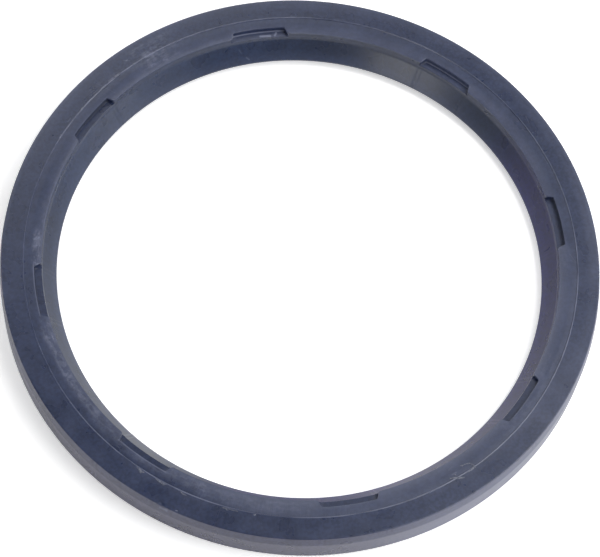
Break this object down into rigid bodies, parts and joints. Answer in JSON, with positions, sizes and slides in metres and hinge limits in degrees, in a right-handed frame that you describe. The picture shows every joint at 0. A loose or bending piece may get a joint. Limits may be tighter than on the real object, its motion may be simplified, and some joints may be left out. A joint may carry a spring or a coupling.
{
  "type": "wiper seal",
  "caption": "One-piece moulded rubber wiper ring for a hydraulic rod, with a slotted heel face, a tapered lead-in, a conical bore down to its lip and a relief groove in the front face.",
  "frame": {"origin": "centre of the ring on the plane of its front face, on which it lies", "axes": "+Z along the ring's axis, from the front face towards the slotted heel; one slot lies on +X and one on +Y"},
  "size_m": [0.12, 0.12, 0.0086],
  "materials": {
    "nitrile_rubber": "satin, as moulded"
  },
  "bodies": {
    "root": {"seal_ring": "nitrile_rubber"}
  },
  "joints": []
}
